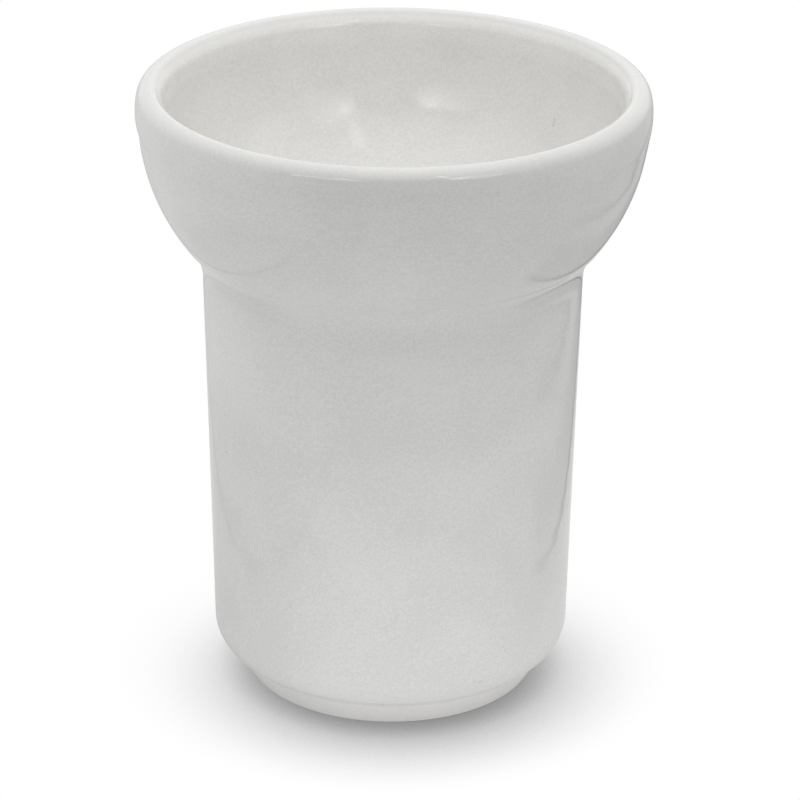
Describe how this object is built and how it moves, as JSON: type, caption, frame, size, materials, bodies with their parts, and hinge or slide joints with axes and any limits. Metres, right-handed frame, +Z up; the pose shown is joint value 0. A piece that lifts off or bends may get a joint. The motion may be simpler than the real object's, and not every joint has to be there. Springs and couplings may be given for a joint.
{
  "type": "flared ceramic vessel",
  "caption": "Free-standing white glazed ceramic vessel: rolled rim, flared funnel-like bowl, tapered barrel with a rounded shoulder, and a bare foot ring.",
  "frame": {"origin": "centre of the foot ring, on the surface that the vessel stands on", "axes": "+Z up along the axis that every piece is turned about; X and Y are any two directions across it"},
  "size_m": [0.09, 0.09, 0.1115],
  "materials": {
    "clay_body": "bare fired clay, matt and fine-grained",
    "glaze": "glossy white glaze with a slight warm cast"
  },
  "bodies": {
    "root": {"rim_roll": "clay_body", "flared_bowl": "clay_body", "barrel_wall": "clay_body", "base_dish": "clay_body", "foot_ring": "clay_body", "outer_glaze": "glaze", "inner_glaze": "glaze", "recess_glaze": "glaze"}
  },
  "joints": []
}
